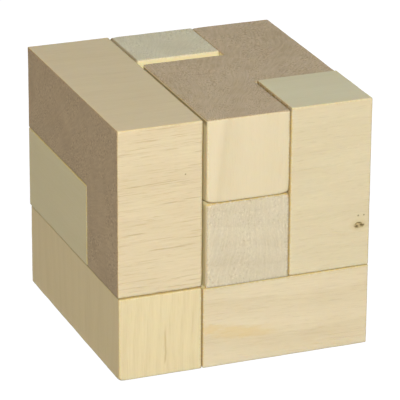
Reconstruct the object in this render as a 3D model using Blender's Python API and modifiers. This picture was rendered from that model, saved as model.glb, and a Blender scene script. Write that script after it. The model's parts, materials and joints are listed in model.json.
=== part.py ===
"""Wooden assembly cube: seven loose pieces that pack into one three-by-three-by-three cube.

Metres, +Z up, +X to the right along the front face, +Y to the back.
The origin is under the middle of the cube, on the table.
Five blocks are flat slices sawn from a profiled bar; the T slice has its stem planed a little lower.
The two screw pieces are each two double-length bars glued crosswise.
"""

import math

import bmesh
import bpy
from mathutils import Vector

MM = 0.001

# Low and high faces of the three cells along each axis, in millimetres.
# A cell is about 20 mm. The left column stands a little apart from the middle one.
CELL_X = ((-30.6, -10.5), (-9.4, 10.5), (10.9, 30.6))
CELL_Y = ((-30.8, -10.5), (-10.1, 10.2), (10.5, 30.8))
CELL_Z = ((0.0, 19.4), (19.7, 39.75), (40.05, 60.0))

# In the left column the seam above the bottom blocks lies higher than in the other two.
LEFT_SEAM_LIFT = 0.55
# The T piece is sawn a little narrower, so its left face stands back from the L piece's.
T_LEFT_INSET = 0.3

# How far each slice's top stands above or below the nominal top of the cube.
V_TOP_LIFT = 0.2
Z_TOP_DROP = 0.2

# The tall bar is planed thinner from front to back than a cell.
# Together with the Z slice's short second cell that leaves an open slot in front of the bar.
TALL_BAR_Y = (12.3, 30.4)
Z_BACK_TRIM = 0.4

# The wide bar reaches farther left than the cells above it.
WIDE_BAR_REACH = 0.7

# The glue line between two blocks of one piece.
GLUE_GAP = 0.3

EDGE_ROUND = 0.4
EDGE_SEGMENTS = 2

ROUGHNESS = 0.62
COLOURS = {
    "t_slice": (231, 212, 167),
    "l_slice": (228, 209, 171),
    "z_slice": (206, 188, 153),
    "v_slice": (223, 207, 169),
    "front_screw_deep_bar": (217, 203, 172),
    "front_screw_wide_bar": (225, 207, 170),
    "back_screw_low_bar": (226, 212, 172),
    "back_screw_tall_bar": (212, 203, 178),
    "tripod_slice": (226, 208, 168),
    "tripod_cube": (229, 211, 173),
}

SLICE_ACROSS_X = (math.pi / 2, 0.0, math.pi / 2)
SLICE_ACROSS_Z = (0.0, 0.0, 0.0)


def clear_scene():
    for item in list(bpy.data.objects):
        bpy.data.objects.remove(item, do_unlink=True)


def collection(name):
    made = bpy.data.collections.new(name)
    bpy.context.scene.collection.children.link(made)
    return made


def linear(channel):
    value = channel / 255.0
    if value <= 0.04045:
        return value / 12.92
    return ((value + 0.055) / 1.055) ** 2.4


def wood(name):
    material = bpy.data.materials.new(name + "_wood")
    material.use_nodes = True
    shader = material.node_tree.nodes["Principled BSDF"]
    red, green, blue = (linear(channel) for channel in COLOURS[name])
    shader.inputs["Base Color"].default_value = (red, green, blue, 1.0)
    shader.inputs["Roughness"].default_value = ROUGHNESS
    shader.inputs["Metallic"].default_value = 0.0
    material.diffuse_color = (red, green, blue, 1.0)
    return material


def finish_block(block, home):
    """Round the edges a little, give the block its wood and put it in the cube's collection."""
    bevel = block.modifiers.new("rounded_edges", "BEVEL")
    bevel.width = EDGE_ROUND * MM
    bevel.segments = EDGE_SEGMENTS
    bevel.limit_method = "ANGLE"
    bevel.angle_limit = math.radians(40)
    block.data.materials.clear()
    block.data.materials.append(wood(block.name))
    for other in list(block.users_collection):
        other.objects.unlink(block)
    home.objects.link(block)
    return block


def bar(name, home, x_span, y_span, z_span):
    """A straight block from one low face to one high face along each axis, in millimetres."""
    spans = (x_span, y_span, z_span)
    centre = Vector([(low + high) / 2 * MM for low, high in spans])
    size = Vector([(high - low) * MM for low, high in spans])
    bpy.ops.mesh.primitive_cube_add(size=1.0, location=centre)
    block = bpy.context.active_object
    block.name = name
    block.data.name = name
    block.scale = size
    bpy.ops.object.transform_apply(location=False, rotation=False, scale=True)
    return finish_block(block, home)


def flat_slice(name, home, outline, thickness_span, turn):
    """A slice of a profiled bar: the outline in its own plane, and the span that it is thick."""
    across = [point[0] for point in outline]
    along = [point[1] for point in outline]
    middle = ((min(across) + max(across)) / 2, (min(along) + max(along)) / 2)
    curve = bpy.data.curves.new(name + "_outline", "CURVE")
    curve.dimensions = "2D"
    curve.fill_mode = "BOTH"
    curve.extrude = (thickness_span[1] - thickness_span[0]) / 2 * MM
    spline = curve.splines.new("POLY")
    spline.points.add(len(outline) - 1)
    for point, corner in zip(spline.points, outline):
        point.co = ((corner[0] - middle[0]) * MM, (corner[1] - middle[1]) * MM, 0.0, 1.0)
    spline.use_cyclic_u = True
    drawn = bpy.data.objects.new(name + "_outline", curve)
    home.objects.link(drawn)
    mesh = bpy.data.meshes.new_from_object(drawn.evaluated_get(bpy.context.evaluated_depsgraph_get()))
    bpy.data.objects.remove(drawn, do_unlink=True)
    bpy.data.curves.remove(curve)
    weld_caps(mesh)
    mesh.name = name
    block = bpy.data.objects.new(name, mesh)
    home.objects.link(block)
    depth = (thickness_span[0] + thickness_span[1]) / 2
    block.rotation_euler = turn
    if turn == SLICE_ACROSS_X:
        block.location = Vector((depth, middle[0], middle[1])) * MM
    else:
        block.location = Vector((middle[0], middle[1], depth)) * MM
    return finish_block(block, home)


def weld_caps(mesh):
    """Join the two flat caps to the side walls, and merge each cap into one face."""
    shape = bmesh.new()
    shape.from_mesh(mesh)
    bmesh.ops.remove_doubles(shape, verts=shape.verts, dist=0.00001)
    bmesh.ops.dissolve_limit(shape, angle_limit=math.radians(1), verts=shape.verts, edges=shape.edges)
    bmesh.ops.recalc_face_normals(shape, faces=shape.faces)
    shape.to_mesh(mesh)
    shape.free()


def block_of_cells(name, home, planes, filled):
    """A block on a grid of planes: one face wherever a filled cell meets an empty one."""
    shape = bmesh.new()
    corners = {}

    def corner(index):
        if index not in corners:
            corners[index] = shape.verts.new([planes[axis][i] * MM for axis, i in enumerate(index)])
        return corners[index]

    for cell in sorted(filled):
        for axis in range(3):
            for side in (0, 1):
                beside = list(cell)
                beside[axis] += 2 * side - 1
                if tuple(beside) in filled:
                    continue
                ring = []
                for u, v in ((0, 0), (1, 0), (1, 1), (0, 1)):
                    index = list(cell)
                    index[axis] += side
                    index[(axis + 1) % 3] += u
                    index[(axis + 2) % 3] += v
                    ring.append(corner(tuple(index)))
                shape.faces.new(ring if side else ring[::-1])
    bmesh.ops.recalc_face_normals(shape, faces=shape.faces)
    bmesh.ops.dissolve_limit(shape, angle_limit=math.radians(1), verts=shape.verts, edges=shape.edges)
    mesh = bpy.data.meshes.new(name)
    shape.to_mesh(mesh)
    shape.free()
    block = bpy.data.objects.new(name, mesh)
    home.objects.link(block)
    return finish_block(block, home)


def slide_empty(name, home, where, blocks):
    """An empty on the slide axis of a glued piece, carrying its blocks."""
    empty = bpy.data.objects.new(name, None)
    empty.empty_display_size = 0.01
    empty.location = Vector(where) * MM
    home.objects.link(empty)
    bpy.context.view_layer.update()
    for block in blocks:
        block.parent = empty
        block.matrix_parent_inverse = empty.matrix_world.inverted()
    return empty


def t_slice(home):
    """The bar of the T stands along the left side; its stem reaches under the deep bar."""
    across = (CELL_X[0][0] + T_LEFT_INSET, CELL_X[0][1], CELL_X[1][1])
    along = (CELL_Y[0][0], CELL_Y[1][0], CELL_Y[1][1], CELL_Y[2][1])
    low, high = CELL_Z[0]
    up = (low, high, high + LEFT_SEAM_LIFT)
    bar_cells = {(0, y, z) for y in range(3) for z in range(2)}
    stem_cell = (1, 1, 0)
    return block_of_cells("t_slice", home, (across, along, up), bar_cells | {stem_cell})


def l_slice(home):
    (y1, y1_end), _, (y3, y3_end) = CELL_Y
    _, (z2, z2_end), (z3, z3_end) = CELL_Z
    bottom = z2 + LEFT_SEAM_LIFT
    outline = (
        (y1, bottom), (y1_end, bottom), (y1_end, z3), (y3_end, z3), (y3_end, z3_end), (y1, z3_end),
    )
    return flat_slice("l_slice", home, outline, CELL_X[0], SLICE_ACROSS_X)


def z_slice(home):
    _, (x2, x2_end), (x3, x3_end) = CELL_X
    (y1, y1_end), (y2, y2_end), (y3, y3_end) = CELL_Y
    low, high = CELL_Z[2]
    back = y2_end - Z_BACK_TRIM
    outline = (
        (x2, y1), (x2_end, y1), (x2_end, y2), (x3_end, y2),
        (x3_end, y3_end), (x3, y3_end), (x3, back), (x2, back),
    )
    return flat_slice("z_slice", home, outline, (low, high - Z_TOP_DROP), SLICE_ACROSS_Z)


def v_slice(home):
    (y1, y1_end), (y2, y2_end), _ = CELL_Y
    _, (z2, z2_end), (z3, z3_end) = CELL_Z
    top = z3_end + V_TOP_LIFT
    outline = ((y1, z2), (y2_end, z2), (y2_end, z2_end), (y1_end, z2_end), (y1_end, top), (y1, top))
    return flat_slice("v_slice", home, outline, CELL_X[2], SLICE_ACROSS_X)


def front_screw(home):
    """Two bars: one runs front to back through the middle, one lies across under its front end."""
    deep = bar("front_screw_deep_bar", home, CELL_X[1], (CELL_Y[0][0], CELL_Y[1][1]), CELL_Z[1])
    wide_start = CELL_X[1][0] - WIDE_BAR_REACH
    wide = bar("front_screw_wide_bar", home, (wide_start, CELL_X[2][1]), CELL_Y[0], CELL_Z[0])
    middle = (CELL_X[1][0] + CELL_X[1][1]) / 2
    slide_empty("front_screw_slide", home, (middle, CELL_Y[0][0], CELL_Z[0][1]), (deep, wide))


def back_screw(home):
    """Two bars: one runs front to back on the left, one stands upright beside its back end."""
    low_z = (CELL_Z[1][0] + LEFT_SEAM_LIFT, CELL_Z[1][1])
    low = bar("back_screw_low_bar", home, CELL_X[0], (CELL_Y[1][0], CELL_Y[2][1]), low_z)
    tall_start = CELL_X[0][1] + GLUE_GAP
    tall_z = (CELL_Z[1][0], CELL_Z[2][1])
    tall = bar("back_screw_tall_bar", home, (tall_start, CELL_X[1][1]), TALL_BAR_Y, tall_z)
    slide_empty("back_screw_slide", home, (CELL_X[0][1], CELL_Y[2][1], CELL_Z[1][1]), (low, tall))


def tripod(home):
    """A three-cell corner slice with one cube glued on top of its corner."""
    _, (x2, x2_end), (x3, x3_end) = CELL_X
    _, (y2, y2_end), (y3, y3_end) = CELL_Y
    outline = ((x3, y2), (x3_end, y2), (x3_end, y3_end), (x2, y3_end), (x2, y3), (x3, y3))
    corner = flat_slice("tripod_slice", home, outline, CELL_Z[0], SLICE_ACROSS_Z)
    cube = bar("tripod_cube", home, CELL_X[2], CELL_Y[2], CELL_Z[1])
    slide_empty("tripod_slide", home, (x3_end, (y3 + y3_end) / 2, CELL_Z[0][1]), (corner, cube))


def build():
    clear_scene()
    home = collection("wooden_assembly_cube")
    t_slice(home)
    l_slice(home)
    z_slice(home)
    v_slice(home)
    front_screw(home)
    back_screw(home)
    tripod(home)


build()
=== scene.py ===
import itertools
import json
import math

import bpy
import numpy as np
from mathutils import Euler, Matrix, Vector, noise
from mathutils.bvhtree import BVHTree

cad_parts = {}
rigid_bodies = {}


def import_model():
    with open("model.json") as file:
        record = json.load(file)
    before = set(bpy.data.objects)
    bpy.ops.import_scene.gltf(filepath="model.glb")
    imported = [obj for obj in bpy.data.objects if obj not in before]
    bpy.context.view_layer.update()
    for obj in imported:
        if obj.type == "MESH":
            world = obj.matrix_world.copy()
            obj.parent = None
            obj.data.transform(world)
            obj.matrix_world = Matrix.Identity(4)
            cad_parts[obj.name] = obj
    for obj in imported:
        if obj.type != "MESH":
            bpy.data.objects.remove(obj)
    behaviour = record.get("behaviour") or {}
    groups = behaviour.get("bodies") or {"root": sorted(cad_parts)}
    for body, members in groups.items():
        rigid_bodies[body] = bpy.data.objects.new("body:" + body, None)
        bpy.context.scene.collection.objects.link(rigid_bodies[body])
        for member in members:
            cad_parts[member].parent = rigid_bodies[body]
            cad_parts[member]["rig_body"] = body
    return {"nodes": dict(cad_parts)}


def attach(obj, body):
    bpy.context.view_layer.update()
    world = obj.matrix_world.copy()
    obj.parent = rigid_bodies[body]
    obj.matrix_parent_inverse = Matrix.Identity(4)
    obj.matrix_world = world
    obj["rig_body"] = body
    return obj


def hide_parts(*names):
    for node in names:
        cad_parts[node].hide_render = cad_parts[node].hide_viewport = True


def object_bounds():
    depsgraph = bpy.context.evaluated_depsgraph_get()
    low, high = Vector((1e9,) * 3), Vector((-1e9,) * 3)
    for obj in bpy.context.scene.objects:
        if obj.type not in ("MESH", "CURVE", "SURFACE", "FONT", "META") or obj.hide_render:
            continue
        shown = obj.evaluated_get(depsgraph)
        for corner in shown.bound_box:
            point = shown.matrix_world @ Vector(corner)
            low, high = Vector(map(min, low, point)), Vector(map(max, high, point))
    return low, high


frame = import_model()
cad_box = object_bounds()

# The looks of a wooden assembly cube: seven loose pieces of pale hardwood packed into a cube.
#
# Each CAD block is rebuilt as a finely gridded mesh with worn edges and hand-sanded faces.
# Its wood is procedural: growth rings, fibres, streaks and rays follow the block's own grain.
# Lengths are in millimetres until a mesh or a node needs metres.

MM = 0.001
BOX_LOW, BOX_HIGH = np.array(cad_box) / MM

# Mesh grid of a block: close lines beside each edge, even spacing between them.
EDGE_LINES = (0.07, 0.16, 0.28, 0.45, 0.70, 1.0, 1.4)
FACE_STEP = 0.9

# Worn edges: the usual rounding and the share that it wanders by, slowly and half as much quickly.
EDGE_RADIUS = 0.30
EDGE_WANDER = 0.40
SLOW_PITCH = 4.0
QUICK_PITCH = 0.9

# How far sanding takes a face down from flat, and over what distance that changes.
FACE_WAVE = 0.03
SANDING_PITCH = 9.0

# The CAD leaves clear gaps. A face that looks across a narrow gap swells until a crack is left,
# but never within the outside band of the cube's own faces. A seam's painted shade fades with
# depth.
CRACK = 0.05
NARROW_GAP = (0.05, 0.62)
OUTSIDE_BAND = 0.7
SEAM_FADE = 1.5

# Glued joints: the axis and place of each glue line, and how tight and sharp the joint is there.
# The back screw piece is glued up to the top of its low bar; above that its tall bar stands free.
GLUE_LINES = {
    "front_screw_deep_bar": (2, 19.55),
    "front_screw_wide_bar": (2, 19.55),
    "back_screw_low_bar": (0, -10.35),
    "back_screw_tall_bar": (0, -10.35),
    "tripod_slice": (2, 19.55),
    "tripod_cube": (2, 19.55),
}
GLUE_TOP = 40.0
GLUE_REACH = 0.5
GLUE_CRACK = 0.01
GLUE_RADIUS = 0.10

# Sides whose edges are sanded rounder: the axis and place of the side, and the radius of its edges.
SOFT_SIDES = {
    "t_slice": ((2, 19.95, 0.45),),
    "l_slice": ((2, 20.25, 0.45),),
    "z_slice": ((0, -9.4, 0.45), (0, 10.5, 0.55)),
    "front_screw_deep_bar": ((0, -9.4, 0.80),),
    "back_screw_tall_bar": ((0, -10.2, 0.60),),
    "v_slice": ((0, 10.9, 0.45),),
}
SOFT_REACH = 1.5

# Corners that are rubbed rounder than the rest: the corner, how far the wear reaches, extra radius.
SOFT_CORNERS = {
    "z_slice": (
        ((-9.4, -30.8, 40.05), 1.8, 0.60),
        ((10.5, -30.8, 40.05), 1.6, 0.40),
    ),
    "front_screw_deep_bar": (((10.5, -30.8, 39.75), 1.6, 0.45),),
    "t_slice": (((-30.6, -30.8, 0.0), 1.2, 0.55),),
    "l_slice": (((-30.6, -30.8, 60.0), 1.2, 0.20),),
}

# The camera: its direction seen from the cube, its roll, distance and lens.
CAMERA_AZIMUTH = -21.569
CAMERA_ELEVATION = 21.591
CAMERA_ROLL = 0.353
CAMERA_PLACE = (-0.2441, -0.6204, 0.2922)
CAMERA_LENS = 276.07
SENSOR = 36.0

# The studio: a soft key light above the camera, a dim neutral room and a large white sheet.
LIGHT_TARGET = (0.0, 0.0, 0.03)
KEY_PLACE = (-0.413, -1.022, 0.719)
KEY_SIZE = 0.40
KEY_POWER = 19.5
KEY_COLOUR = (1.0, 1.0, 1.02)
ROOM_LIGHT = (0.20, 0.20, 0.20, 1.0)
# A low fill on the far side, so that the right and back faces can be seen from there.
FILL_PLACE = (0.90, 0.90, 0.05)
FILL_SIZE = 0.30
FILL_POWER = 10.0
PAPER = (138, 138, 138)
PAPER_GLOW = (0.88, 0.88, 0.88, 1.0)
FLOOR_SIZE = 60.0
FLOOR_DROP = 0.0003


def linear(colour):
    """A display colour, 0 to 255, as the linear colour that a shader takes."""
    shares = [channel / 255 for channel in colour]
    values = [s / 12.92 if s <= 0.04045 else ((s + 0.055) / 1.055) ** 2.4 for s in shares]
    return (*values, 1.0)


# Each block's wood. grain is the axis that the fibres run along, and tilt turns it a few degrees.
# pith is where the heart of the tree lay across the grain, from the block's centre, and ring the
# width of a year's growth. pale and deep are the colours of front and back faces. The second pair
# are those of the other sides, a copy tinted darker and warmer as painted light, for the way the
# light falls there. end_pale and end_deep are those of the sawn ends.
# rings to blotch say how strongly each kind of figure shows on sides, end_rings to flecks on ends.
# The rest are single marks: specks, a band, a vein, a knot and stains, and painted shade: in the
# gap along an inner wall, and as a line along one top edge.
WOODS = {
    "l_slice": dict(
        grain="X", tilt=(0.0, 0.8), pith=(28.0, 58.0), ring=4.2, seed=1,
        pale=(226, 210, 173), deep=(189, 167, 124),
        lit_side_pale=(220, 205, 169), lit_side_deep=(184, 163, 121),
        end_pale=(185, 158, 117), end_deep=(146, 122, 85),
        rings=0.06, fibre=0.40, streaks=0.60, dashes=0.14, blotch=0.25,
        end_rings=0.05, rays=0.7, flecks=1.6,
        specks=((-14.5, -30.8, 47.9, 0.16),),
    ),
    "z_slice": dict(
        grain="Z", tilt=(1.5, 0.0), pith=(-33.0, -62.0), ring=5.5, seed=2,
        pale=(225, 210, 174), deep=(199, 181, 141),
        lit_side_pale=(223, 207, 170), lit_side_deep=(197, 178, 138),
        end_pale=(196, 177, 147), end_deep=(161, 143, 112),
        rings=0.03, fibre=0.12, streaks=0.0, dashes=0.06, blotch=0.20,
        end_rings=0.05, rays=1.1, flecks=1.5,
        band=(-16.2, 0.12), shaded_wall=(-9.4, (57.9, 59.1)),
    ),
    "v_slice": dict(
        grain="X", tilt=(0.0, 1.0), pith=(46.0, 40.0), ring=3.6, seed=3,
        pale=(221, 207, 170), deep=(194, 177, 137),
        lit_side_pale=(215, 209, 176), lit_side_deep=(189, 179, 142),
        end_pale=(184, 166, 138), end_deep=(150, 132, 104),
        rings=0.08, fibre=0.28, streaks=0.16, dashes=0.20, blotch=0.35,
        end_rings=0.10, rays=0.45, flecks=0.50,
        knot=(27.95, -30.8, 29.75), shaded_wall=(10.9, (57.2, 58.6)),
        specks=((27.75, -30.8, 32.1, 0.20), (29.15, -30.8, 32.1, 0.18)),
    ),
    "t_slice": dict(
        grain="Z", tilt=(0.6, 0.0), pith=(70.0, -50.0), ring=2.6, seed=4,
        pale=(229, 213, 168), deep=(195, 174, 127),
        lit_side_pale=(221, 198, 143), lit_side_deep=(187, 161, 108),
        end_pale=(184, 165, 134), end_deep=(150, 132, 102),
        rings=0.10, fibre=0.40, streaks=0.16, dashes=0.06, blotch=0.25,
        end_rings=0.12, rays=0.40, flecks=0.45,
        vein=(-19.2, (3.0, 12.0)),
    ),
    "front_screw_deep_bar": dict(
        grain="Y", tilt=(0.0, 0.5), pith=(6.0, -58.0), ring=4.0, seed=5,
        pale=(220, 204, 168), deep=(196, 178, 140),
        lit_side_pale=(220, 204, 168), lit_side_deep=(196, 178, 140),
        end_pale=(220, 208, 177), end_deep=(186, 171, 140),
        rings=0.10, fibre=0.35, streaks=0.15, dashes=0.20, blotch=0.20,
        end_rings=0.08, rays=0.6, flecks=0.45,
    ),
    "front_screw_wide_bar": dict(
        grain="X", tilt=(0.0, -2.0), pith=(22.0, 30.0), ring=4.6, seed=6,
        pale=(225, 210, 174), deep=(197, 177, 137),
        lit_side_pale=(221, 205, 169), lit_side_deep=(193, 173, 133),
        end_pale=(212, 199, 172), end_deep=(180, 164, 136),
        rings=0.14, fibre=0.30, streaks=0.25, dashes=0.16, blotch=0.45,
        end_rings=0.14, rays=0.60, flecks=0.30,
        stains=(((-1.0, -30.8, 7.6), (9.0, 1.8), -0.10), ((-8.0, -30.8, 9.5), (3.0, 1.2), 0.0)),
    ),
    "back_screw_low_bar": dict(
        grain="Y", tilt=(0.0, 1.0), pith=(64.0, 30.0), ring=4.4, seed=7,
        pale=(214, 200, 153), deep=(193, 174, 128),
        lit_side_pale=(211, 196, 146), lit_side_deep=(191, 171, 122),
        end_pale=(212, 199, 172), end_deep=(180, 164, 136),
        rings=0.06, fibre=0.24, streaks=0.05, dashes=0.20, blotch=0.25,
        end_rings=0.12, rays=0.60, flecks=0.30,
    ),
    "back_screw_tall_bar": dict(
        grain="Z", tilt=(0.5, 0.5), pith=(-26.0, -60.0), ring=4.0, seed=8,
        pale=(232, 220, 184), deep=(208, 192, 152),
        lit_side_pale=(232, 220, 184), lit_side_deep=(208, 192, 152),
        end_pale=(213, 207, 178), end_deep=(188, 180, 151),
        rings=0.08, fibre=0.26, streaks=0.05, dashes=0.15, blotch=0.20,
        end_rings=0.04, rays=0.9, flecks=1.2,
        shaded_wall=(-10.2, (57.0, 58.4)), rim_shadow=-10.2,
    ),
    "tripod_slice": dict(
        grain="Z", tilt=(0.8, 0.5), pith=(-50.0, 60.0), ring=3.4, seed=9,
        pale=(220, 204, 166), deep=(192, 170, 130),
        lit_side_pale=(220, 204, 166), lit_side_deep=(192, 170, 130),
        end_pale=(182, 163, 134), end_deep=(150, 131, 103),
        rings=0.12, fibre=0.40, streaks=0.30, dashes=0.20, blotch=0.25,
        end_rings=0.12, rays=0.45, flecks=0.45,
    ),
    "tripod_cube": dict(
        grain="X", tilt=(0.0, 0.8), pith=(-34.0, 48.0), ring=3.8, seed=10,
        pale=(220, 204, 168), deep=(192, 172, 134),
        lit_side_pale=(220, 204, 168), lit_side_deep=(192, 172, 134),
        end_pale=(212, 199, 172), end_deep=(180, 164, 136),
        rings=0.12, fibre=0.35, streaks=0.25, dashes=0.25, blotch=0.20,
        end_rings=0.14, rays=0.60, flecks=0.30,
    ),
}
# How much of the figure of the front and back faces shows on the sides, top and bottom.
PLAIN = 0.25
# How steeply a face must lean before it shows end grain, or the figure of a front face.
END_LEAN = (0.35, 0.70)
FRONT_LEAN = (0.4, 0.8)
# Gloss and relief of bare sanded wood. Sawn ends are rougher than sides.
ROUGHNESS = 0.50
END_ROUGHER = 0.16
SPECULAR = 0.35
RELIEF = 0.5
RELIEF_DEPTH = 0.06
# Light that soaks into the wood and comes out warmer, in millimetres of red, green and blue.
GLOW_WEIGHT = 0.4
GLOW_REACH = (2.2, 1.4, 0.6)
# Painted warm bounce light: faces inside the cube are mixed towards a light yellow, for the light
# that bounces about in the gaps between the blocks.
INNER_BOUNCE = (232, 219, 152)
INNER_BOUNCE_SHARE = 0.42
INNER_BOUNCE_DEPTH = (0.50, 1.0)
# Handling has darkened the edges, most of all those of sawn ends.
WORN = (186, 160, 92)
WORN_END = (132, 106, 72)
WORN_SHARE = 0.34
# Painted shade along the edges of the narrow seams, tinted yellow as painted warm bounce light,
# and darker still near the top.
SEAM_SHADE = (204, 170, 72)
SEAM_TOP_SHADE = (150, 120, 48)
SEAM_SHADE_SHARE = 0.42
TOP_EDGE = (59.0, 59.6)
# Painted shade in the gap along the top of some inner walls, and a painted shadow line on one top
# edge.
GAP_SHADE = (116, 92, 46)
GAP_SHADE_SHARE = 0.68
RIM_SHADOW_SHARE = 0.62
RIM_SHADOW_REACH = (0.30, 0.75)
# Marks that grew in the wood.
STAIN = (214, 184, 118)
VEIN = (176, 150, 98)
BARK = (112, 94, 58)
KNOT_RIM = (138, 118, 68)
KNOT_DARK = (92, 74, 36)
KNOT_HEART = (186, 166, 116)
# The knot's dark pips: place across and up from its centre, and half width and half height.
KNOT_PIPS = ((-0.55, -0.22, 0.60, 0.30), (0.78, -0.05, 0.72, 0.30), (0.0, 0.62, 0.42, 0.26))
# How a block's coordinates are turned so that its grain runs along Z, and the grain's own axis.
GRAIN_TURN = {"X": (0.0, -90.0, 0.0), "Y": (90.0, 0.0, 0.0), "Z": (0.0, 0.0, 0.0)}
GRAIN_AXIS = {"X": (1.0, 0.0, 0.0), "Y": (0.0, 1.0, 0.0), "Z": (0.0, 0.0, 1.0)}


# ---------------------------------------------------------------- block meshes


def flat_planes(mesh):
    """The places of a CAD block's flat faces along X, Y and Z, in millimetres."""
    found = [set(), set(), set()]
    for face in mesh.polygons:
        for axis in range(3):
            if abs(face.normal[axis]) > 0.9999:
                found[axis].add(round(face.center[axis] / MM, 3))
    return [sorted(values) for values in found]


def filled_cells(node, planes):
    """Which of the boxes between the planes are wood."""
    tree = BVHTree.FromObject(frame["nodes"][node], bpy.context.evaluated_depsgraph_get())
    shape = [len(values) - 1 for values in planes]
    filled = np.zeros(shape, bool)
    for index in np.ndindex(*shape):
        middle = Vector([(planes[a][i] + planes[a][i + 1]) / 2 * MM for a, i in enumerate(index)])
        nearest, normal, _, _ = tree.find_nearest(middle)
        filled[index] = (middle - nearest).dot(normal) < 0
    return filled


def largest_boxes(filled, planes):
    """Every box of wood that can't grow further, as (low corner, high corner)."""
    spans = [list(itertools.combinations(range(size + 1), 2)) for size in filled.shape]
    solid = [
        span for span in itertools.product(*spans)
        if filled[tuple(slice(low, high) for low, high in span)].all()
    ]

    def inside(small, big):
        return small != big and all(b[0] <= s[0] and s[1] <= b[1] for s, b in zip(small, big))

    kept = [span for span in solid if not any(inside(span, other) for other in solid)]
    low = [[planes[a][span[a][0]] for a in range(3)] for span in kept]
    high = [[planes[a][span[a][1]] for a in range(3)] for span in kept]
    return list(zip(np.array(low), np.array(high)))


def graded_lines(planes):
    """Grid lines along one axis: every plane, close lines beside it and even ones between."""
    lines = {planes[0]}
    for low, high in zip(planes, planes[1:]):
        steps = [step for step in EDGE_LINES if step < (high - low) / 2]
        lines.update(low + step for step in steps)
        lines.update(high - step for step in steps)
        inner_low, inner_high = low + steps[-1], high - steps[-1]
        count = max(1, round((inner_high - inner_low) / FACE_STEP))
        lines.update(np.linspace(inner_low, inner_high, count + 1)[1:-1])
        lines.add(high)
    return np.array(sorted(lines))


def skin(filled, planes):
    """The outside of the wood as quads: points in millimetres, and four indices for each face."""
    lines = [graded_lines(values) for values in planes]
    middles = [(values[:-1] + values[1:]) / 2 for values in lines]
    owners = [np.searchsorted(planes[a], middles[a]) - 1 for a in range(3)]
    fine = np.pad(filled[np.ix_(*owners)], 1)
    counts = [len(values) for values in lines]
    quads = []
    for axis in range(3):
        step = np.diff(fine.astype(int), axis=axis)
        trimmed = [slice(1, -1)] * 3
        trimmed[axis] = slice(None)
        step = step[tuple(trimmed)]
        u, v = (axis + 1) % 3, (axis + 2) % 3
        for sign in (-1, 1):
            corner = np.argwhere(step == sign)
            second, last = ((1, 0), (0, 1)) if sign < 0 else ((0, 1), (1, 0))
            face = []
            for du, dv in ((0, 0), second, (1, 1), last):
                point = corner.copy()
                point[:, u] += du
                point[:, v] += dv
                face.append(np.ravel_multi_index(point.T, counts))
            quads.append(np.stack(face, 1))
    quads = np.concatenate(quads)
    used, quads = np.unique(quads, return_inverse=True)
    index = np.unravel_index(used, counts)
    points = np.stack([lines[a][index[a]] for a in range(3)], 1)
    return points, quads.reshape(-1, 4)


def smooth_noise(points, pitch, seed):
    """Noise from -1 to 1 that changes over about one pitch, at each point."""
    shift = Vector((seed * 17.3, seed * 5.7, seed * 11.9))
    return np.array([noise.noise(Vector(point) / pitch + shift) for point in points])


def depth_in_cube(points):
    """How far each point lies inside the cube's outer box, in millimetres."""
    return np.minimum(points - BOX_LOW, BOX_HIGH - points).min(1)


def edge_distance(points, boxes):
    """How far each point of the skin is from the nearest edge, in millimetres."""
    best = np.zeros(len(points))
    for low, high in boxes:
        gaps = np.minimum(points - low, high - points)
        inside = gaps.min(1) > -1e-6
        second = np.sort(gaps, 1)[:, 1]
        best = np.where(inside, np.maximum(best, second), best)
    return best


def round_over(points, boxes, radius):
    """Moves the points near edges onto a rounding of each point's own radius."""
    chosen = points.copy()
    nearest = np.full(len(points), np.inf)
    for low, high in boxes:
        core = np.clip(points, low + radius[:, None], high - radius[:, None])
        gap = np.linalg.norm(points - core, axis=1)
        closer = gap < nearest - 1e-9
        nearest = np.where(closer, gap, nearest)
        chosen[closer] = core[closer]
    away = (points - chosen) / np.maximum(nearest, 1e-9)[:, None]
    return chosen + away * radius[:, None], away


def all_planes():
    """The places of every block's flat faces along X, Y and Z."""
    found = [set(), set(), set()]
    for node in frame["nodes"]:
        for axis, places in enumerate(flat_planes(frame["nodes"][node].data)):
            found[axis].update(places)
    return [np.array(sorted(places)) for places in found]


def swelling(node, planes, neighbours, points, away):
    """How far each point moves outward along X, Y and Z to narrow the gap before it.

    The second result is how squarely each point looks across a narrow seam near the cube's outside.
    """
    glue_axis, glue_place = GLUE_LINES.get(node, (0, math.inf))
    grown = np.zeros(points.shape)
    for axis in range(3):
        for sign in (-1, 1):
            swell = []
            for place in planes[axis]:
                gaps = sign * (neighbours[axis] - place)
                gaps = gaps[(gaps > NARROW_GAP[0]) & (gaps < NARROW_GAP[1])]
                glued = axis == glue_axis and abs(place - glue_place) < 1.0
                crack = GLUE_CRACK if glued else CRACK
                swell.append(max(0.0, gaps.min() - crack) / 2 if len(gaps) else 0.0)
            nearest = np.abs(points[:, axis, None] - np.array(planes[axis])).argmin(1)
            facing = away[:, axis] * sign > 0
            grown[facing, axis] = (away[:, axis] * np.array(swell)[nearest])[facing]
    free = (points[:, 2] > GLUE_TOP) & (np.abs(points[:, glue_axis] - glue_place) < 1.0)
    grown[free, glue_axis] = 0.0
    faces_low = (points - BOX_LOW < OUTSIDE_BAND) & (away < 0)
    faces_high = (BOX_HIGH - points < OUTSIDE_BAND) & (away > 0)
    grown[faces_low | faces_high] = 0.0
    seam = np.where(grown != 0, np.abs(away), 0.0).max(1)
    return grown, seam * np.exp(-((depth_in_cube(points) / SEAM_FADE) ** 2))


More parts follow.
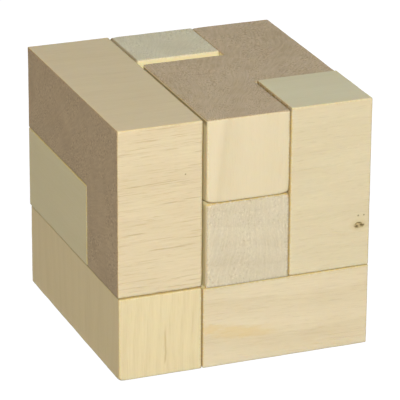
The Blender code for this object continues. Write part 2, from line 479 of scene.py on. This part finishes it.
def edge_wear(node, points, seed):
    """The radius that each point's edge is worn to, in millimetres."""
    radius = EDGE_RADIUS * (1 + EDGE_WANDER * smooth_noise(points, SLOW_PITCH, seed))
    radius *= 1 + 0.5 * EDGE_WANDER * smooth_noise(points, QUICK_PITCH, seed + 20)
    for axis, place, soft in SOFT_SIDES.get(node, ()):
        near = np.exp(-(((points[:, axis] - place) / SOFT_REACH) ** 4))
        radius += (soft - EDGE_RADIUS) * near
    for corner, reach, extra in SOFT_CORNERS.get(node, ()):
        away = np.linalg.norm(points - np.array(corner), axis=1)
        radius += extra * np.exp(-((away / reach) ** 2))
    if node in GLUE_LINES:
        axis, place = GLUE_LINES[node]
        tight = np.exp(-((points[:, axis] - place) / GLUE_REACH) ** 2) * (points[:, 2] < GLUE_TOP)
        radius += (GLUE_RADIUS - radius) * tight
    return radius


def build_block(node, neighbours):
    """A detailed block on the CAD block's own planes, riding with its body."""
    style = WOODS[node]
    planes = flat_planes(frame["nodes"][node].data)
    filled = filled_cells(node, planes)
    boxes = largest_boxes(filled, planes)
    points, quads = skin(filled, planes)
    edge = edge_distance(points, boxes)
    radius = edge_wear(node, points, style["seed"])
    rounded, away = round_over(points, boxes, radius)
    sanded = FACE_WAVE * (smooth_noise(points, SANDING_PITCH, style["seed"] + 40) - 1) / 2
    grown, seam = swelling(node, planes, neighbours, points, away)
    rounded += grown + away * sanded[:, None]
    mesh = bpy.data.meshes.new(node + "_wood")
    mesh.from_pydata((rounded * MM).tolist(), [], quads.tolist())
    for name, values in (("edge_mm", edge), ("depth_mm", depth_in_cube(points)), ("seam", seam)):
        layer = mesh.attributes.new(name, "FLOAT", "POINT")
        layer.data.foreach_set("value", values.astype(np.float32))
    mesh.shade_smooth()
    mesh.update()
    block = bpy.data.objects.new(node + "_wood", mesh)
    bpy.context.scene.collection.objects.link(block)
    mesh.materials.append(wood_material(node, style, (points.min(0) + points.max(0)) / 2))
    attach(block, frame["nodes"][node]["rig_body"])
    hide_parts(node)


# ------------------------------------------------------------------- materials


class Tree:
    """Short ways to add nodes to one material. A socket or a plain number can feed any input."""

    def __init__(self, name):
        self.material = bpy.data.materials.new(name)
        self.material.use_nodes = True
        self.nodes = self.material.node_tree.nodes
        self.links = self.material.node_tree.links
        self.shader = self.nodes["Principled BSDF"]

    def feed(self, socket, value):
        if isinstance(value, bpy.types.NodeSocket):
            self.links.new(value, socket)
        elif value is not None:
            socket.default_value = value

    def math(self, operation, a, b=None, c=None, clamp=False):
        node = self.nodes.new("ShaderNodeMath")
        node.operation = operation
        node.use_clamp = clamp
        for socket, value in zip(node.inputs, (a, b, c)):
            self.feed(socket, value)
        return node.outputs[0]

    def vector(self, operation, a, b=None):
        node = self.nodes.new("ShaderNodeVectorMath")
        node.operation = operation
        self.feed(node.inputs[0], a)
        self.feed(node.inputs["Scale" if operation == "SCALE" else 1], b)
        return node.outputs["Value" if operation in ("LENGTH", "DOT_PRODUCT") else "Vector"]

    def attribute(self, name):
        node = self.nodes.new("ShaderNodeAttribute")
        node.attribute_name = name
        return node.outputs["Fac"]

    def split(self, vector):
        """A vector's X, Y and Z."""
        node = self.nodes.new("ShaderNodeSeparateXYZ")
        self.feed(node.inputs[0], vector)
        return node.outputs

    def flat(self, x, y):
        """A vector from its X and Y."""
        node = self.nodes.new("ShaderNodeCombineXYZ")
        self.feed(node.inputs[0], x)
        self.feed(node.inputs[1], y)
        return node.outputs[0]

    def turn(self, vector, degrees):
        node = self.nodes.new("ShaderNodeMapping")
        self.feed(node.inputs["Vector"], vector)
        node.inputs["Rotation"].default_value = [math.radians(angle) for angle in degrees]
        return node.outputs[0]

    def smooth(self, value, low, high, out_low=0.0, out_high=1.0):
        node = self.nodes.new("ShaderNodeMapRange")
        node.interpolation_type = "SMOOTHSTEP"
        for socket, given in zip(node.inputs, (value, low, high, out_low, out_high)):
            self.feed(socket, given)
        return node.outputs["Result"]

    def hill(self, value, rise, fall):
        """Eases from 0 to 1 over the span of rise, and back to 0 over the span of fall."""
        up, down = self.smooth(value, *rise), self.smooth(value, *fall, 1.0, 0.0)
        return self.math("MULTIPLY", up, down)

    def mix(self, factor, a, b):
        node = self.nodes.new("ShaderNodeMix")
        node.data_type = "RGBA"
        self.feed(node.inputs["Factor"], factor)
        self.feed(node.inputs[6], a)
        self.feed(node.inputs[7], b)
        return node.outputs[2]

    def add_centred(self, total, signal, amount):
        """Adds a signal of 0 to 1 so that its middle value changes nothing."""
        return self.math("MULTIPLY_ADD", self.math("SUBTRACT", signal, 0.5), amount, total)

    def noise(self, vector, stretch, detail=2.0, roughness=0.5, shift=(0.0, 0.0, 0.0)):
        """Noise over a place; stretch is how many features fit in a millimetre each way."""
        mapping = self.nodes.new("ShaderNodeMapping")
        self.feed(mapping.inputs["Vector"], vector)
        mapping.inputs["Scale"].default_value = stretch
        mapping.inputs["Location"].default_value = shift
        node = self.nodes.new("ShaderNodeTexNoise")
        node.inputs["Scale"].default_value = 1.0
        node.inputs["Detail"].default_value = detail
        node.inputs["Roughness"].default_value = roughness
        self.links.new(mapping.outputs[0], node.inputs["Vector"])
        return node.outputs

    def wander(self, vector, stretch, detail, roughness, shift, reach):
        """A vector that wanders, by up to half the reach, to either side of nothing."""
        colour = self.noise(vector, stretch, detail, roughness, shift)["Color"]
        return self.vector("MULTIPLY", self.vector("SUBTRACT", colour, (0.5, 0.5, 0.5)), reach)


def grain_space(tree, style, centre, place):
    """Grain coordinates in millimetres: X and Y across the grain, Z along it."""
    from_centre = tree.vector("SUBTRACT", place, tuple(centre))
    along = tree.turn(from_centre, GRAIN_TURN[style["grain"]])
    return tree.turn(along, (style["tilt"][0], style["tilt"][1], 0.0))


def growth_rings(tree, grain, style, seed):
    """The rings' darkness, the distance from the pith and the angle round it."""
    drift = tree.wander(grain, (0.05, 0.05, 0.018), 2.0, 0.5, (seed, 0, 0), (7.0, 7.0, 0.0))
    wandering = tree.vector("ADD", grain, drift)
    from_pith = tree.vector("SUBTRACT", wandering, (style["pith"][0], style["pith"][1], 0.0))
    flat = tree.vector("MULTIPLY", from_pith, (1.0, 1.0, 0.0))
    reach = tree.vector("LENGTH", flat)
    ring = tree.math("FRACT", tree.math("DIVIDE", reach, style["ring"]))
    late_wood = tree.hill(ring, (0.25, 0.92), (0.92, 1.0))
    x, y, _ = tree.split(flat)
    angle = tree.math("ARCTAN2", y, x)
    return late_wood, reach, angle


def side_grain(tree, grain, style, rings, on_front, seed):
    """Colour, relief and fibres where the saw ran along the grain.

    on_front is 1 on the front and back faces, where the figure shows in full.
    """
    figured = tree.math("MULTIPLY_ADD", on_front, 1 - PLAIN, PLAIN)
    fibre = tree.noise(grain, (2.6, 2.6, 0.10), 3.0, 0.6, (seed, 3, 0))["Fac"]
    fine = tree.noise(grain, (6.5, 6.5, 0.30), 2.0, 0.6, (seed, 9, 0))["Fac"]
    streak_field = tree.noise(grain, (3.4, 3.4, 0.10), 3.0, 0.66, (seed, 5, 2))["Fac"]
    streak = tree.math("MULTIPLY", tree.smooth(streak_field, 0.55, 0.72), figured)
    dash = tree.noise(grain, (2.6, 2.6, 0.34), 2.0, 0.6, (seed, 8, 5))["Fac"]
    dark_dash = tree.math("MULTIPLY", tree.smooth(dash, 0.58, 0.70), style["dashes"])
    pale_dash = tree.math("MULTIPLY", tree.smooth(dash, 0.42, 0.30), style["dashes"] * -0.6)
    patch = tree.noise(grain, (0.12, 0.12, 0.04), 2.0, 0.5, (seed, 1, 7))["Fac"]
    depth = tree.math("MULTIPLY", rings, style["rings"])
    depth = tree.add_centred(depth, fibre, style["fibre"])
    depth = tree.add_centred(depth, fine, style["fibre"] * 0.6)
    depth = tree.add_centred(depth, patch, style["blotch"])
    depth = tree.math("MULTIPLY", depth, tree.math("MULTIPLY_ADD", figured, 0.5, 0.5))
    depth = tree.math("MULTIPLY_ADD", streak, style["streaks"], depth)
    dashes = tree.math("MULTIPLY", tree.math("ADD", dark_dash, pale_dash), figured)
    depth = tree.math("ADD", depth, dashes)
    if "band" in style:
        depth = tree.math("ADD", depth, ring_band(tree, grain, *style["band"]))
    depth = tree.math("ADD", depth, 0.28, clamp=True)
    relief = tree.math("MULTIPLY_ADD", fine, 0.5, tree.math("MULTIPLY", streak, -0.8))
    figured_colour = tree.mix(depth, linear(style["pale"]), linear(style["deep"]))
    # The other sides take a copy tinted darker and warmer: painted light for how the light falls
    # there.
    lit_side_colour = tree.mix(depth, linear(style["lit_side_pale"]), linear(style["lit_side_deep"]))
    return tree.mix(on_front, lit_side_colour, figured_colour), relief, fibre


def ring_band(tree, grain, place, slope):
    """One wide ring boundary, slightly slanted: paler on one side, brownish on the other."""
    x, _, z = tree.split(grain)
    slant = tree.math("MULTIPLY_ADD", z, -slope, x)
    wobble = tree.noise(grain, (0.3, 0.3, 0.12), 2.0, 0.5, (3.0, 8.0, 1.0))["Fac"]
    away = tree.math("MULTIPLY_ADD", wobble, 1.6, tree.math("SUBTRACT", slant, place + 0.8))
    line = tree.hill(away, (-0.9, 0.0), (0.0, 1.8))
    brown = tree.hill(away, (-0.8, 0.8), (0.8, 6.0))
    pale = tree.hill(away, (-4.4, -2.6), (-2.0, -0.4))
    total = tree.math("MULTIPLY_ADD", brown, 0.09, tree.math("MULTIPLY", line, 0.13))
    return tree.math("MULTIPLY_ADD", pale, -0.12, total)


def end_grain(tree, style, rings, reach, angle, seed):
    """Colour and relief where the saw cut across the fibres: rays, pores, flecks and ring arcs."""
    spread = float(np.hypot(*style["pith"]))
    place = tree.flat(tree.math("MULTIPLY", angle, spread), reach)
    ray = tree.noise(place, (2.0, 0.18, 1.0), 3.0, 0.65, (seed, 0, 4))["Fac"]
    pore = tree.noise(place, (2.8, 1.6, 1.0), 2.0, 0.7, (seed, 2, 1))["Fac"]
    patch = tree.noise(place, (0.10, 0.10, 1.0), 2.0, 0.5, (seed, 1, 9))["Fac"]
    fleck_field = tree.noise(place, (2.4, 1.2, 1.0), 1.0, 0.6, (seed, 6, 3))["Fac"]
    crowd_field = tree.noise(place, (0.16, 0.07, 1.0), 1.0, 0.5, (seed, 4, 4))["Fac"]
    crowd = tree.smooth(crowd_field, 0.38, 0.62)
    light = tree.math("MULTIPLY", tree.smooth(fleck_field, 0.60, 0.70), crowd)
    dark = tree.math("MULTIPLY", tree.smooth(fleck_field, 0.40, 0.30), crowd)
    depth = tree.math("MULTIPLY_ADD", rings, style["end_rings"], 0.40)
    depth = tree.add_centred(depth, ray, style["rays"] * 1.3)
    depth = tree.add_centred(depth, pore, 0.6)
    depth = tree.add_centred(depth, patch, 0.6)
    depth = tree.math("MULTIPLY_ADD", light, -style["flecks"], depth)
    depth = tree.math("MULTIPLY_ADD", dark, style["flecks"], depth, clamp=True)
    relief = tree.math("MULTIPLY_ADD", pore, 0.9, tree.math("MULTIPLY", ray, 0.6))
    return tree.mix(depth, linear(style["end_pale"]), linear(style["end_deep"])), relief


def add_stains(tree, colour, place, stains):
    """Soft yellow patches, each lying along the grain with a small slope."""
    for centre, (half_x, half_z), slope in stains:
        ragged = tree.wander(
            place, (0.25, 0.25, 0.9), 3.0, 0.6, (centre[0], 0, 0), (6.0, 6.0, 4.0)
        )
        x, _, z = tree.split(tree.vector("ADD", tree.vector("SUBTRACT", place, centre), ragged))
        sloped = tree.math("MULTIPLY_ADD", x, -slope, z)
        away = tree.flat(tree.math("DIVIDE", x, half_x), tree.math("DIVIDE", sloped, half_z))
        amount = tree.smooth(tree.vector("LENGTH", away), 0.2, 1.3, 0.45, 0.0)
        colour = tree.mix(amount, colour, linear(STAIN))
    return colour


def add_specks(tree, colour, place, specks):
    """Small dark flecks of bark at given spots: place and radius in millimetres."""
    for x, y, z, radius in specks:
        away = tree.vector("LENGTH", tree.vector("SUBTRACT", place, (x, y, z)))
        amount = tree.smooth(away, radius * 1.6, radius * 0.5, 0.0, 0.7)
        colour = tree.mix(amount, colour, linear(BARK))
    return colour


def add_vein(tree, colour, place, across, span):
    """One thin darker line that runs up the front for part of its height."""
    x, _, z = tree.split(place)
    low, high = span
    wander = tree.noise(place, (0.0, 0.0, 0.25), 2.0, 0.5, (6.0, 1.0, 0.0))["Fac"]
    away = tree.math("MULTIPLY_ADD", wander, 0.8, tree.math("SUBTRACT", x, across + 0.4))
    line = tree.smooth(tree.math("ABSOLUTE", away), 0.05, 0.35, 1.0, 0.0)
    height = tree.hill(z, (low - 1, low + 1), (high - 3, high + 1))
    amount = tree.math("MULTIPLY", line, height)
    return tree.mix(tree.math("MULTIPLY", amount, 0.5), colour, linear(VEIN))


def add_gap_shade(tree, colour, place, ragged, inside, wall, height):
    """Painted shade in the gap along the top of one inner wall, just below its rounded edge."""
    x, _, z = tree.split(place)
    away = tree.math("ABSOLUTE", tree.math("SUBTRACT", x, wall))
    away = tree.math("MULTIPLY_ADD", ragged, -0.4, tree.math("ADD", away, 0.2))
    near = tree.smooth(away, 0.05, 0.25, GAP_SHADE_SHARE, 0.0)
    share = tree.math("MULTIPLY", near, tree.smooth(z, *height))
    return tree.mix(tree.math("MULTIPLY", share, inside), colour, linear(GAP_SHADE))


def add_rim_shadow(tree, colour, place, at_top, wall):
    """A painted shadow line along the top edge of one wall."""
    away = tree.math("ABSOLUTE", tree.math("SUBTRACT", tree.split(place)[0], wall))
    share = tree.math("MULTIPLY", tree.smooth(away, *RIM_SHADOW_REACH, RIM_SHADOW_SHARE, 0.0), at_top)
    return tree.mix(share, colour, linear(GAP_SHADE))


def add_knot(tree, colour, place, centre):
    """A pin knot: an irregular eye, wider than high, mottled brown with dark pips."""
    offset = tree.vector("SUBTRACT", place, centre)
    ragged = tree.wander(place, (1.1, 1.1, 1.1), 3.0, 0.7, (4.0, 2.0, 0.0), (1.1, 0.0, 0.9))
    offset = tree.vector("ADD", offset, ragged)
    eye = tree.vector("LENGTH", tree.vector("MULTIPLY", offset, (0.72, 0.4, 1.15)))
    mottle = tree.noise(place, (2.0, 2.0, 2.6), 2.0, 0.6, (9.0, 1.0, 5.0))["Fac"]
    rim = tree.math("MULTIPLY", tree.smooth(eye, 0.2, 0.6), tree.smooth(mottle, 0.42, 0.58))
    colour = tree.mix(tree.smooth(eye, 0.8, 2.2, 0.22, 0.0), colour, linear(WORN))
    wood = tree.mix(rim, linear(KNOT_HEART), linear(KNOT_RIM))
    colour = tree.mix(tree.smooth(eye, 0.75, 1.0, 0.9, 0.0), colour, wood)
    for x, z, width, height in KNOT_PIPS:
        from_pip = tree.vector("SUBTRACT", offset, (x, 0.0, z))
        pip = tree.vector("MULTIPLY", from_pip, (1 / width, 0.3, 1 / height))
        dark = tree.smooth(tree.vector("LENGTH", pip), 0.4, 1.1, 0.85, 0.0)
        colour = tree.mix(dark, colour, linear(KNOT_DARK))
    return colour


def bend_round_knot(tree, place, centre):
    """Fibres part and flow round the knot."""
    offset = tree.vector("MULTIPLY", tree.vector("SUBTRACT", place, centre), (0.45, 1.0, 1.0))
    away = tree.vector("LENGTH", offset)
    push = tree.smooth(away, 0.5, 5.0, -0.75, 0.0)
    upward = tree.vector("MULTIPLY", offset, (0.0, 0.0, 1.0))
    return tree.vector("ADD", place, tree.vector("SCALE", upward, push))


def add_wear_and_painted_light(tree, colour, place, is_end, style, seed):
    """Worn edges, and painted light: bounce light inside the cube, shade along seams and in gaps.
    """
    edge = tree.attribute("edge_mm")
    ragged = tree.noise(place, (2.0, 2.0, 2.0), 2.0, 0.6, (seed, 7, 7))["Fac"]
    near = tree.math("MULTIPLY_ADD", ragged, -1.1, tree.math("ADD", edge, 0.55))
    worn = tree.mix(is_end, linear(WORN), linear(WORN_END))
    colour = tree.mix(tree.smooth(near, 0.0, 0.45, WORN_SHARE, 0.0), colour, worn)
    # Painted bounce light: faces inside the cube are mixed towards a light warm yellow.
    inner = tree.smooth(tree.attribute("depth_mm"), *INNER_BOUNCE_DEPTH, 0.0, INNER_BOUNCE_SHARE)
    colour = tree.mix(inner, colour, linear(INNER_BOUNCE))
    spotty = tree.smooth(ragged, 0.35, 0.65, 0.35, 1.65)
    # Painted shade along the narrow seams, yellow as painted bounce light and darker near the top.
    seam = tree.smooth(tree.attribute("seam"), 0.35, 0.95, 0.0, SEAM_SHADE_SHARE)
    seam_shade = tree.math("MULTIPLY", seam, spotty)
    at_top = tree.smooth(tree.split(place)[2], *TOP_EDGE)
    colour = tree.mix(seam_shade, colour, tree.mix(at_top, linear(SEAM_SHADE), linear(SEAM_TOP_SHADE)))
    # A painted shadow line along one top edge.
    if "rim_shadow" in style:
        colour = add_rim_shadow(tree, colour, place, at_top, style["rim_shadow"])
    # Painted shade in the gap along the top of some inner walls.
    if "shaded_wall" in style:
        inside = tree.smooth(edge, 0.25, 0.6)
        colour = add_gap_shade(tree, colour, place, ragged, inside, *style["shaded_wall"])
    return colour


def wood_material(node, style, centre):
    """One block's wood: side and end grain, marks, wear, painted light and shade, roughness and
    relief.
    """
    tree = Tree(node + "_wood")
    seed = style["seed"] * 13.7
    coordinates = tree.nodes.new("ShaderNodeTexCoord")
    place = tree.vector("MULTIPLY", coordinates.outputs["Object"], (1 / MM,) * 3)
    bent = bend_round_knot(tree, place, style["knot"]) if "knot" in style else place
    grain = grain_space(tree, style, centre, bent)
    rings, reach, angle = growth_rings(tree, grain, style, seed)
    across = tree.vector("DOT_PRODUCT", coordinates.outputs["Normal"], (0.0, 1.0, 0.0))
    on_front = tree.smooth(tree.math("ABSOLUTE", across), *FRONT_LEAN)
    side, side_relief, fibre = side_grain(tree, grain, style, rings, on_front, seed)
    side = add_stains(tree, side, place, style.get("stains", ()))
    if "vein" in style:
        side = add_vein(tree, side, place, *style["vein"])
    if "knot" in style:
        side = add_knot(tree, side, place, style["knot"])
    side = add_specks(tree, side, place, style.get("specks", ()))
    end, end_relief = end_grain(tree, style, rings, reach, angle, seed)

    facing = tree.vector("DOT_PRODUCT", coordinates.outputs["Normal"], GRAIN_AXIS[style["grain"]])
    is_end = tree.smooth(tree.math("ABSOLUTE", facing), *END_LEAN)
    colour = add_wear_and_painted_light(tree, tree.mix(is_end, side, end), place, is_end, style, seed)
    tree.feed(tree.shader.inputs["Base Color"], colour)

    rough_side = tree.math("MULTIPLY_ADD", fibre, 0.16, ROUGHNESS)
    rough = tree.math("MULTIPLY_ADD", is_end, END_ROUGHER, rough_side, clamp=True)
    tree.feed(tree.shader.inputs["Roughness"], rough)
    tree.shader.inputs["Specular IOR Level"].default_value = SPECULAR
    tree.shader.inputs["Subsurface Weight"].default_value = GLOW_WEIGHT
    tree.shader.inputs["Subsurface Radius"].default_value = GLOW_REACH
    tree.shader.inputs["Subsurface Scale"].default_value = MM

    relief = tree.nodes.new("ShaderNodeMix")
    tree.feed(relief.inputs[0], is_end)
    tree.feed(relief.inputs[2], side_relief)
    tree.feed(relief.inputs[3], end_relief)
    bump = tree.nodes.new("ShaderNodeBump")
    bump.inputs["Strength"].default_value = RELIEF
    bump.inputs["Distance"].default_value = RELIEF_DEPTH * MM
    tree.feed(bump.inputs["Height"], relief.outputs[0])
    tree.feed(tree.shader.inputs["Normal"], bump.outputs[0])
    return tree.material


# ------------------------------------------------------------ camera and light


def area_light(name, place, size, power, colour=(1.0, 1.0, 1.0)):
    """A round soft light that points at the middle of the cube."""
    data = bpy.data.lights.new(name, "AREA")
    data.shape = "DISK"
    data.size = size
    data.energy = power
    data.color = colour
    light = bpy.data.objects.new(name, data)
    bpy.context.scene.collection.objects.link(light)
    light.location = place
    beam = Vector(LIGHT_TARGET) - light.location
    light.rotation_euler = beam.to_track_quat("-Z", "Y").to_euler()
    return light


def set_lights(scene):
    """The display transform, the room's light and the two lamps."""
    scene.view_settings.view_transform = "Standard"
    scene.view_settings.look = "None"

    world = bpy.data.worlds.new("studio")
    world.use_nodes = True
    world.node_tree.nodes["Background"].inputs["Color"].default_value = ROOM_LIGHT
    world.node_tree.nodes["Background"].inputs["Strength"].default_value = 1.0
    scene.world = world

    area_light("key", KEY_PLACE, KEY_SIZE, KEY_POWER, KEY_COLOUR)
    fill = area_light("fill", FILL_PLACE, FILL_SIZE, FILL_POWER)
    fill.visible_glossy = False


def lay_floor():
    """A large white sheet that takes only a faint shadow."""
    bpy.ops.mesh.primitive_plane_add(size=FLOOR_SIZE, location=(0.0, 0.0, -FLOOR_DROP))
    floor = bpy.context.active_object
    floor.name = "floor"
    paper = Tree("white_paper")
    paper.shader.inputs["Base Color"].default_value = linear(PAPER)
    paper.shader.inputs["Roughness"].default_value = 0.9
    paper.shader.inputs["Specular IOR Level"].default_value = 0.0
    paper.shader.inputs["Emission Color"].default_value = PAPER_GLOW
    paper.shader.inputs["Emission Strength"].default_value = 1.0
    floor.data.materials.append(paper.material)
    floor.visible_diffuse = False


def set_camera(scene):
    """A long lens, from the front left and a little above."""
    azimuth, elevation = math.radians(CAMERA_AZIMUTH), math.radians(CAMERA_ELEVATION)
    back = Vector((
        math.sin(azimuth) * math.cos(elevation),
        -math.cos(azimuth) * math.cos(elevation),
        math.sin(elevation),
    ))
    data = bpy.data.cameras.new("camera")
    data.lens = CAMERA_LENS
    data.sensor_width = SENSOR
    camera = bpy.data.objects.new("camera", data)
    scene.collection.objects.link(camera)
    camera.location = CAMERA_PLACE
    aim = (-back).to_track_quat("-Z", "Y")
    roll = Euler((0.0, 0.0, math.radians(CAMERA_ROLL))).to_quaternion()
    camera.rotation_euler = (aim @ roll).to_euler()
    scene.camera = camera


neighbours = all_planes()
for name in frame["nodes"]:
    build_block(name, neighbours)
set_lights(bpy.context.scene)
lay_floor()
set_camera(bpy.context.scene)
